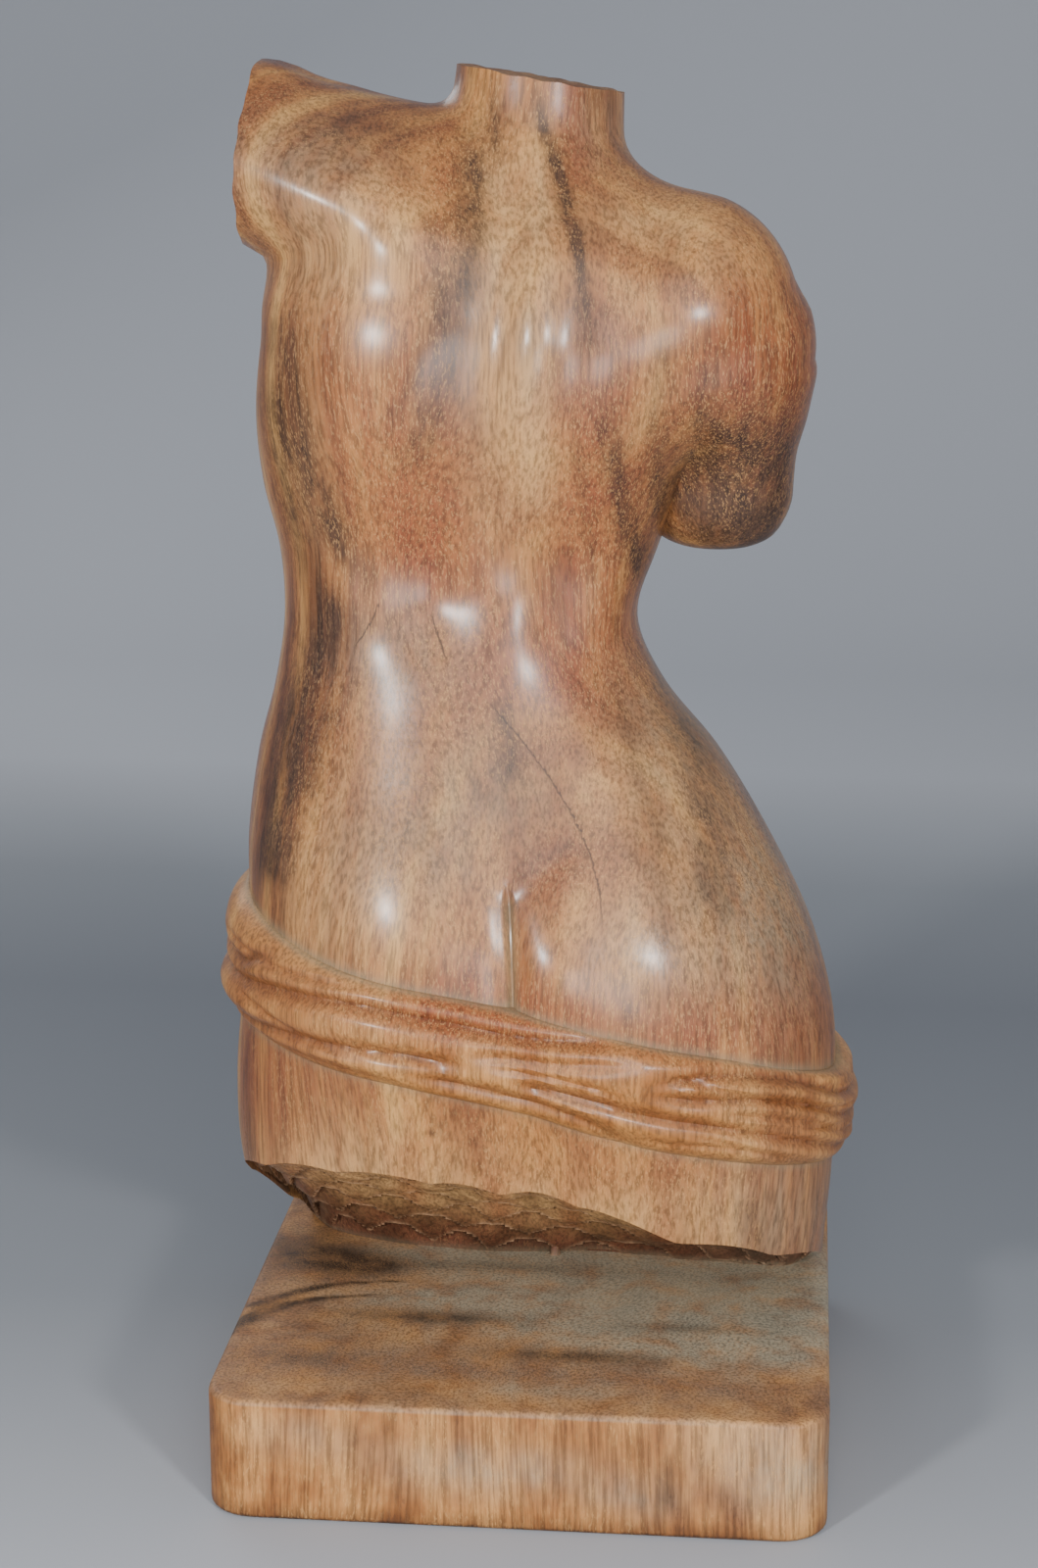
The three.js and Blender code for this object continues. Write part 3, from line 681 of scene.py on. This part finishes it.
def twig_stub():
    """Stub of a twig, 8 mm high, that stands on the plinth before the undercut: rings whose radius
    wavers with twice and three times the angle."""
    turn = np.arange(20) / 20 * 2 * math.pi
    radius = np.array([1, 2.3, 2.9, 3.1, 3.4, 4.2])[:, None]
    z = np.array([8, 7.6, 6, 4, 1.5, -3])[:, None]
    radius = radius * (1 + 0.15 * np.cos(2 * turn) + 0.08 * np.sin(3 * turn + z))
    return np.stack([5 + 0.8 * radius * np.cos(turn), 49 + radius * np.sin(turn), z + 0 * turn], -1)


def saw_block(point, outward, reach=110, depth=200):
    """Closed drum beyond a saw cut: rings on the cut, a little wavy as the strokes left it, and one
    ring far out. The wave is a product of sines of the two directions on the plane."""
    outward = np.array(outward, float) / np.linalg.norm(outward)
    across = np.cross([0, 1, 0], outward)
    across /= np.linalg.norm(across)
    along = np.cross(across, outward)
    turn = np.arange(96) / 96 * 2 * math.pi
    radius = np.append(np.linspace(1, reach, 44), reach)[:, None]
    u, v = radius * np.cos(turn), radius * np.sin(turn)
    wave = 0.5 * np.sin(u / 3.1 + np.sin(v / 17)) * np.sin(v / 11) + 0.35 * np.sin(v / 4.3 + u / 23)
    wave[-1] = depth
    return point + u[..., None] * across + v[..., None] * along + wave[..., None] * outward


def joined(pieces):
    """One closed mesh: the first piece with the others added or cut away, in their order."""
    first = pieces[0][0]
    for other, operation in pieces[1:]:
        cut = first.modifiers.new(other.name, "BOOLEAN")
        cut.object, cut.operation, cut.solver = other, operation, "MANIFOLD"
    depsgraph = bpy.context.evaluated_depsgraph_get()
    whole = bpy.data.meshes.new_from_object(first.evaluated_get(depsgraph))
    for piece, _ in pieces:
        bpy.data.objects.remove(piece)
    return whole


def stain(table, x, z):
    """Sum of a stain's patches and streaks at x and height z."""
    patches, streaks = table
    total = np.zeros_like(x)
    for cx, cz, across, up, strength in patches:
        total += strength * np.exp(-(((x - cx) / across) ** 2) - ((z - cz) / up) ** 2)
    for streak in streaks:
        total += line_relief(x, z, *streak)
    return np.clip(total, 0, 1)


def colour_layers(mesh):
    """Two colour attributes: dark (some of it painted shade), red, pale in the first; grey, dust
    and the painted shade of the cloth's grooves in the second.

    The front takes the back's stains mirrored, and the two melt into each other at the flanks.
    Dust lies where the cloth meets the skin above it, in the cleft, and round the foot."""
    points = np.empty(len(mesh.vertices) * 3)
    mesh.vertices.foreach_get("co", points)
    x, y, z = points.reshape(-1, 3).T / MM
    z = z - PLINTH_HEIGHT
    mx, my, right, left, front, back, _ = section_at(z)
    side = (y - my) / np.where(y < my, back, front)
    behind = 1 - smooth_step((side + 0.1) / 0.7)
    on_top = np.abs(z + 1.4) <= 1.5
    layers = {}
    for name, table in STAINS.items():
        body = stain(table, x, z) * behind + stain(table, -x - 30, z) * (1 - behind)
        layers[name] = np.where(on_top, stain(TOP_STAINS[name], x, y + PLINTH_DEPTH / 2), body)
    angle = np.arctan2(y - my, x - mx) % (2 * math.pi)
    top, bottom = read_ring(CLOTH_TOP, angle), read_ring(CLOTH_BOTTOM, angle)
    above, below = z - top, bottom - z
    cleft = [(-13, 272), (-11, 250), (-9, 215), (-8, 160)]
    cleft = line_relief(x, z, cleft, 3.5, 14, 1) * (y < my)
    seam = 0.8 * np.exp(-((np.where(above > 0, above / 3.5, above / 1.5)) ** 2))
    lower = 0.5 * np.exp(-((np.where(below > 0, below / 3, below / 2)) ** 2))
    foot = 0.5 * np.exp(-((z / 4) ** 2)) * (z > 0.3)
    dust = np.clip(seam + 0.8 * cleft * (above > 0) + lower + foot, 0, 1)
    across = (top - z) / (top - bottom)
    # Depth of the cloth's grooves, which the finish paints as shade.
    groove_shade = groove_depth(angle, np.clip(across, 0, 1), top - bottom) / 8
    groove_shade *= np.abs(across - 0.5) < 0.5
    one = np.ones_like(x)
    for name, parts in (
        ("tone", (layers["dark"], layers["red"], layers["pale"], one)),
        ("grey_dust_and_shade", (layers["grey"], dust, np.clip(groove_shade, 0, 1), one)),
    ):
        layer = mesh.attributes.new(name, "FLOAT_COLOR", "POINT")
        layer.data.foreach_set("color", np.stack(parts, -1).ravel())


def carved_log():
    """The whole carving as one mesh of millimetre grids, joined and cut, with a finish per zone."""
    finishes = [hardwood(zone) for zone in FINISHES]
    pieces = []
    rows, crests = carved_skin()
    skin = grid_mesh("skin", rows)
    crest = skin.data.attributes.new("crest", "FLOAT", "POINT")
    crest.data.foreach_set("value", np.append(crests.ravel(), [0, 0]))
    pieces.append((skin, ""))
    pieces.append((grid_mesh("arm", hanging_arm()), "UNION"))
    pieces.append((grid_mesh("cloth", twisted_cloth()[::-1], looped=True), "UNION"))
    pieces.append((grid_mesh("neck_cut", saw_block(*NECK_CUT)), "DIFFERENCE"))
    pieces.append((grid_mesh("arm_cut", saw_block(*ARM_CUT)), "DIFFERENCE"))
    pieces.append((grid_mesh("plinth", block_plinth()), "UNION"))
    pieces.append((grid_mesh("stub", twig_stub()), "UNION"))
    zones = [0, 0, 1, 3, 3, 4, 2]
    for (piece, _), zone in zip(pieces, zones):
        for finish in finishes:
            piece.data.materials.append(finish)
        piece.data.polygons.foreach_set("material_index", np.full(len(piece.data.polygons), zone))
    row_of = np.repeat(np.arange(len(rows) - 1), SKIN_COLUMNS)
    hewn = np.zeros(len(skin.data.polygons), int)
    hewn[: len(row_of)] = np.where(row_of >= FAN_ROWS + LEVEL_ROWS - 1, 2, 0)
    skin.data.polygons.foreach_set("material_index", hewn)
    mesh = joined(pieces)
    mesh.name = "torso_and_plinth_carved"
    mesh.polygons.foreach_set("use_smooth", np.ones(len(mesh.polygons), bool))
    mesh.set_sharp_from_angle(angle=math.radians(38))
    colour_layers(mesh)
    carving = bpy.data.objects.new("carved_log", mesh)
    bpy.context.scene.collection.objects.link(carving)
    return carving


def linear(colour):
    """sRGB hex to linear red, green, blue and full opacity."""
    parts = [int(colour[i : i + 2], 16) / 255 for i in (1, 3, 5)]
    return (*(v / 12.92 if v <= 0.04045 else ((v + 0.055) / 1.055) ** 2.4 for v in parts), 1.0)


def add(tree, kind, links=(), stops=(), output=0, **settings):
    """Adds a node with its settings and gives one of its outputs, or some of them for a slice.

    links gives each input a value or another node's output, and stops gives a colour ramp its
    places and colours or grey values."""
    node = tree.nodes.new("ShaderNode" + kind)
    for name, value in settings.items():
        setattr(node, name, value)
    for index, (place, colour) in enumerate(stops):
        ramp = node.color_ramp.elements
        element = ramp[index] if index < 2 else ramp.new(place)
        element.position = place
        element.color = linear(colour) if isinstance(colour, str) else (colour, colour, colour, 1)
    for socket, value in dict(links).items():
        if isinstance(value, bpy.types.NodeSocket):
            tree.links.new(value, node.inputs[socket])
        else:
            node.inputs[socket].default_value = value
    return node.outputs[output]


# One log in five finishes: colours of the growth bands from dark to light, then of the stains
# pale, red, grey and dark, roughness, its spread, depth of the pores and fibres in millimetres,
# and the shares of the rings in the bands, of the pores and of the polish over the wood.
OILED = ["#CFA56E", "#8A4426", "#8C775E", "#37251D"]
FINISHES = {
    # Oiled and rubbed bright: deep warm colour under small clear highlights.
    "skin": (["#683820", "#8B532E", "#AA703C", "#C79353"], OILED, 0.38, 0.1, 0.25, 0.45, 0.34, 0.4),
    # The same oil, hardly rubbed between the folds: wider and duller highlights.
    "cloth": (["#9A6233", "#AE743E", "#C1874B", "#CF9A5A"], OILED, 0.4, 0.1, 0.25, 0.25, 0.34, 0.2),
    # Left as the gouge cut it: dark, dull, with light crests of worn wood and painted highlight,
    # and painted shade behind them.
    "hewn": (["#3A1A11", "#4A2418", "#5A2E20", "#6C3C2C"], OILED, 0.5, 0.15, 0.4, 0.25, 0.12, 0),
    # Sawn across and never oiled: dry end grain.
    "sawn": (["#7B553A", "#94694A", "#A67C59", "#B48C69"], OILED, 0.62, 0.1, 0.5, 0.25, 0.34, 0),
    # The block, weathered: golden wood under a grey bloom.
    "plinth": (
        ["#83502A", "#9C6434", "#B47C45", "#C69055"],
        ["#D8923F", "#6C3A26", "#A5A08B", "#241815"],
        *(0.5, 0.12, 0.4, 0.15, 0.34, 0),
    ),
}
PITH = (0.030, -0.150)

# Waves per metre across and along the grain, detail and roughness of its noise: mottle 33 mm wide,
# streaks 9 mm, fibres 2 mm, and pores 1 by 5 mm, which on the real wood are 0.4 by 4 mm and are
# drawn coarser so that they show. The block shows its mottle and streaks shorter.
GRAIN = [(30, 4.5, 4.0, 0.6), (110, 7, 5.0, 0.6), (560, 26, 3.0, 0.5), (1000, 210, 2.0, 0.7)]
BLOCK_GRAIN = [(30, 16, 4.0, 0.6), (50, 30, 5.0, 0.6), *GRAIN[2:]]
RINGS_PER_METRE = 60.0


def hardwood(zone):
    """Open-pored tropical hardwood of one log, oiled or left raw by zone.

    Growth bands are noise along the bent distance from the pith, so that they close to loops where
    the surface swells. Layers of colour lie on them in order: the attributes' stains, a few of them
    painted shade, broken up by streaks; painted shade in the cloth's grooves; a painted highlight
    over pale worn wood on the gouge marks' edges, and painted shade behind them; fibres, pores,
    dust, and the drying cracks."""
    bands, stained, rough, spread, relief_depth, ring_share, pore_share, polish = FINISHES[zone]
    material = bpy.data.materials.new("oiled_hardwood_" + zone)
    material.use_nodes = True
    tree = material.node_tree
    surface = tree.nodes["Principled BSDF"]

    place = add(tree, "TexCoord", output="Object")
    drift = add(tree, "VectorMath", {0: place, 1: (6, 6, 1.6)}, operation="MULTIPLY")
    drift = add(tree, "TexNoise", {"Vector": drift, "Scale": 1.0, "Detail": 2.0}, output="Color")
    bent = {0: drift, 1: (0.06, 0.06, 0), 2: place}
    bent = add(tree, "VectorMath", bent, operation="MULTIPLY_ADD")
    from_pith = {0: bent, 1: (1, 1, 0.09), 2: (-PITH[0] - 0.03, -PITH[1] - 0.03, 0)}
    from_pith = add(tree, "VectorMath", from_pith, operation="MULTIPLY_ADD")
    ring = add(tree, "VectorMath", {0: from_pith}, output="Value", operation="LENGTH")
    rings = {"W": ring, "Scale": RINGS_PER_METRE, "Detail": 4.0}
    rings = add(tree, "TexNoise", rings, noise_dimensions="1D")
    fields = []
    for across, along, detail, harshness in BLOCK_GRAIN if zone == "plinth" else GRAIN:
        at = add(tree, "VectorMath", {0: bent, 1: (across, across, along)}, operation="MULTIPLY")
        noise = {"Vector": at, "Scale": 1.0, "Detail": detail, "Roughness": harshness}
        fields.append(add(tree, "TexNoise", noise))
    mottle, streak, fibre, pore = fields
    tone = add(tree, "Math", {0: mottle, 1: 1 - ring_share}, operation="MULTIPLY")
    tone = add(tree, "Math", {0: rings, 1: ring_share, 2: tone}, operation="MULTIPLY_ADD")
    colour = add(tree, "ValToRGB", {0: tone}, list(zip((0.34, 0.45, 0.55, 0.68), bands)))

    layers = []
    streaky = add(tree, "MapRange", {0: streak, 1: 0.3, 2: 0.65, 3: 0.45, 4: 1.3})
    tones = add(tree, "Attribute", attribute_name="tone")
    dark, red, pale = add(tree, "SeparateColor", {0: tones}, output=slice(0, 3))
    grey_dust_and_shade = add(tree, "Attribute", attribute_name="grey_dust_and_shade")
    grey, dust, groove_shade = add(tree, "SeparateColor", {0: grey_dust_and_shade}, output=slice(0, 3))
    # The dark layer also paints shade: along the plinth's lower edge, in the hanging arm's crease
    # and over the arm.
    for amount, stain_colour in zip((pale, red, grey, dark), stained):
        share = {0: amount, 1: streaky}
        share = add(tree, "Math", share, operation="MULTIPLY", use_clamp=True)
        share = add(tree, "Math", {0: share, 1: 0.86}, operation="MULTIPLY")
        layers.append((share, linear(stain_colour), "MIX"))
    # Darker, redder wood and painted shade in the cloth's grooves: broad, then a narrow dark line
    # of painted shade at their bottom.
    for power, most, groove_shade_colour in ((0.5, 0.5, "#8A4A2A"), (2.0, 0.75, "#4E2818")):
        share = add(tree, "Math", {0: groove_shade, 1: power}, operation="POWER")
        share = add(tree, "Math", {0: share, 1: most}, operation="MULTIPLY")
        layers.append((share, linear(groove_shade_colour), "MIX"))
    crest = add(tree, "Attribute", output="Fac", attribute_name="crest")
    # Painted highlight over pale worn wood along the gouge edges.
    worn_and_lit_crest = add(tree, "MapRange", {0: crest, 1: 0.0, 2: 1.0, 3: 0.0, 4: 1.0})
    patchy = add(tree, "MapRange", {0: mottle, 1: 0.36, 2: 0.48, 3: 0.3, 4: 1.0})
    worn_and_lit_crest = add(tree, "Math", {0: worn_and_lit_crest, 1: patchy}, operation="MULTIPLY")
    worn_and_lit_crest = add(tree, "Math", {0: worn_and_lit_crest, 1: 0.8}, operation="MULTIPLY")
    layers.append((worn_and_lit_crest, linear("#C09A78"), "MIX"))
    # Painted shade in the hollow behind each gouge edge.
    shaded = add(tree, "MapRange", {0: crest, 1: 0.0, 2: -1.0, 3: 0.0, 4: 0.8})
    layers.append((shaded, linear("#1E100B"), "MIX"))
    fibres = add(tree, "ValToRGB", {0: fibre}, [(0.36, 0.52), (0.58, 1.0)])
    layers.append((1.0, fibres, "MULTIPLY"))
    pores = add(tree, "MapRange", {0: pore, 1: 0.54, 2: 0.62, 3: 0.0, 4: 1.0})
    filled = add(tree, "MapRange", {0: mottle, 1: 0.36, 2: 0.56, 3: 0.0, 4: 1.0})
    filled = add(tree, "Math", {0: filled, 1: red}, operation="ADD", use_clamp=True)
    filled = {0: filled, 6: linear("#3C261A"), 7: linear("#D3A066")}
    filled = add(tree, "Mix", filled, output=2, data_type="RGBA")
    share = add(tree, "Math", {0: pores, 1: pore_share}, operation="MULTIPLY")
    layers.append((share, filled, "MIX"))
    share = add(tree, "Math", {0: dust, 1: 0.6}, operation="MULTIPLY")
    layers.append((share, linear("#7F7A62"), "MIX"))

    x, y, z = add(tree, "SeparateXYZ", {0: place}, output=slice(0, 3))
    on_back = add(tree, "MapRange", {0: y, 1: 0.0, 2: 0.01, 3: 1.0, 4: 0.0})
    for path in CRACKS if zone == "skin" else ():
        xs, zs = np.array(path, float).T
        low, high = (zs[[0, -1]] + PLINTH_HEIGHT) * MM
        level = add(tree, "MapRange", {0: z, 1: low, 2: high, 3: 0.0, 4: 1.0})
        course = add(tree, "FloatCurve", {1: level})
        curve = course.node.mapping
        points = curve.curves[0].points
        for index, (px, pz) in enumerate(zip(xs, zs)):
            at = ((pz - zs[0]) / (zs[-1] - zs[0]), px / (2 * CRACK_REACH) + 0.5)
            point = points[index] if index < 2 else points.new(*at)
            point.location = at
        curve.update()
        reach = CRACK_REACH * MM
        middle = add(tree, "MapRange", {0: course, 1: 0.0, 2: 1.0, 3: -reach, 4: reach})
        off = add(tree, "Math", {0: x, 1: middle}, operation="SUBTRACT")
        off = add(tree, "Math", {0: fibre, 1: 0.004, 2: off}, operation="MULTIPLY_ADD")
        off = add(tree, "Math", {0: off, 1: 0.002}, operation="SUBTRACT")
        off = add(tree, "Math", {0: off}, operation="ABSOLUTE")
        start = add(tree, "MapRange", {0: level, 1: 0.0, 2: 0.1, 3: 0.0, 4: 1.0})
        stop = add(tree, "MapRange", {0: level, 1: 1.0, 2: 0.9, 3: 0.0, 4: 1.0})
        ends = add(tree, "Math", {0: start, 1: stop}, operation="MULTIPLY")
        line = add(tree, "MapRange", {0: off, 1: 0.0002, 2: 0.0009, 3: 0.75, 4: 0.0})
        line = add(tree, "Math", {0: line, 1: ends}, operation="MULTIPLY")
        line = add(tree, "Math", {0: line, 1: on_back}, operation="MULTIPLY")
        layers.append((line, linear("#2B1B13"), "MIX"))
    for share, over, way in layers:
        mix = {0: share, 6: colour, 7: over}
        colour = add(tree, "Mix", mix, output=2, data_type="RGBA", blend_type=way)

    matt = {0: mottle, 1: 0.3, 2: 0.7, 3: rough - spread / 2, 4: rough + spread / 2}
    matt = add(tree, "MapRange", matt)
    matt = add(tree, "Math", {0: dust, 1: 0.3, 2: matt}, operation="MULTIPLY_ADD")
    matt = add(tree, "Math", {0: pores, 1: 0.15, 2: matt}, operation="MULTIPLY_ADD")
    height = add(tree, "Math", {0: fibre, 1: 0.5}, operation="MULTIPLY")
    height = add(tree, "Math", {0: pores, 1: -0.6, 2: height}, operation="MULTIPLY_ADD")
    bump = {"Height": height, "Strength": 0.5, "Distance": relief_depth * MM}
    tree.links.new(colour, surface.inputs["Base Color"])
    tree.links.new(matt, surface.inputs["Roughness"])
    tree.links.new(add(tree, "Bump", bump), surface.inputs["Normal"])
    surface.inputs["Coat Weight"].default_value = polish
    surface.inputs["Coat Roughness"].default_value = 0.22
    surface.inputs["Specular IOR Level"].default_value = 0.35
    return material


carving = carved_log()
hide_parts("torso_and_plinth")
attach(carving, "root")


# Grey backdrop paper, matt, from the near floor over its darkest part to the wall, the darker floor
# behind being painted shade: share of the way from 1 m before the origin to 3.7 m behind it, and
# colour.
PAPER_PAINTED_SHADE = [
    (0.14, "#B4B7BD"),
    (0.24, "#8A8E94"),
    (0.38, "#7D8188"),
    (0.46, "#8F9399"),
    (0.56, "#B9BCC2"),
]


def studio():
    """Floor that turns up into a wall by a quarter circle, and five square lamps: two small ones
    left and right for the highlights, a large one over the camera, a low one, and one behind."""
    scene = bpy.context.scene
    floor = bpy.data.meshes.new("floor")
    x = np.array([-6.0, 6.0])
    bend = np.linspace(0, math.pi / 2, 17)
    y = np.concatenate([[-5], 2.2 + 1.5 * np.sin(bend), [3.7]])
    z = np.concatenate([[0], 1.5 - 1.5 * np.cos(bend), [6]])
    points = np.stack(np.broadcast_arrays(x[None], y[:, None], z[:, None]), -1).reshape(-1, 3)
    i = np.arange(len(y) - 1)[:, None] * 2
    floor.from_pydata(points.tolist(), [], (i + [0, 1, 3, 2]).tolist())
    floor.polygons.foreach_set("use_smooth", np.ones(len(floor.polygons), bool))
    floor.update()
    ground = bpy.data.objects.new("floor", floor)
    scene.collection.objects.link(ground)
    paper = bpy.data.materials.new("grey_backdrop_paper_painted_shade")
    paper.use_nodes = True
    tree = paper.node_tree
    depth = add(tree, "TexCoord", output="Object")
    depth = add(tree, "SeparateXYZ", {0: depth}, output="Y")
    depth = add(tree, "MapRange", {0: depth, 1: -1.0, 2: 3.7})
    # Painted shade: the floor darkens behind the carving and is light again towards the wall.
    shade = add(tree, "ValToRGB", {0: depth}, PAPER_PAINTED_SHADE)
    surface = tree.nodes["Principled BSDF"]
    tree.links.new(shade, surface.inputs["Base Color"])
    surface.inputs["Roughness"].default_value = 0.9
    floor.materials.append(paper)
    for name, place, aim, size, watts in (
        ("key", (-1.15, -2.1, 0.95), (0, 0, 0.38), 0.22, 36),
        ("fill", (1.15, -2.0, 0.95), (0, 0, 0.38), 0.24, 30),
        ("front", (0.5, -2.2, 1.75), (0, -0.1, 0.0), 1.6, 18),
        ("low", (0.3, -1.9, 0.2), (0, -0.1, 0.12), 0.7, 16),
        ("back", (-1.6, 2.2, 1.9), (0, 0, 0.45), 1.5, 18),
    ):
        lamp = bpy.data.lights.new(name, "AREA")
        lamp.size, lamp.energy = size, watts
        light = bpy.data.objects.new(name, lamp)
        light.location = place
        away = np.subtract(place, aim)
        light.rotation_euler = (
            math.atan2(math.hypot(away[0], away[1]), away[2]),
            0,
            math.atan2(away[0], -away[1]),
        )
        scene.collection.objects.link(light)
    world = bpy.data.worlds.new("studio")
    world.use_nodes = True
    world.node_tree.nodes["Background"].inputs["Color"].default_value = linear("#D5DAE2")
    world.node_tree.nodes["Background"].inputs["Strength"].default_value = 0.55
    scene.world = world


def camera():
    """Camera at the photograph's place: 1.66 m behind, 0.80 m up, 13.9 degrees down."""
    lens = bpy.data.cameras.new("camera")
    lens.lens, lens.sensor_width = 67.5, 36
    eye = bpy.data.objects.new("camera", lens)
    eye.location = (0.147, -1.662, 0.800)
    eye.rotation_euler = (math.radians(76.1), 0, math.radians(5.5))
    bpy.context.scene.collection.objects.link(eye)
    bpy.context.scene.camera = eye


studio()
camera()
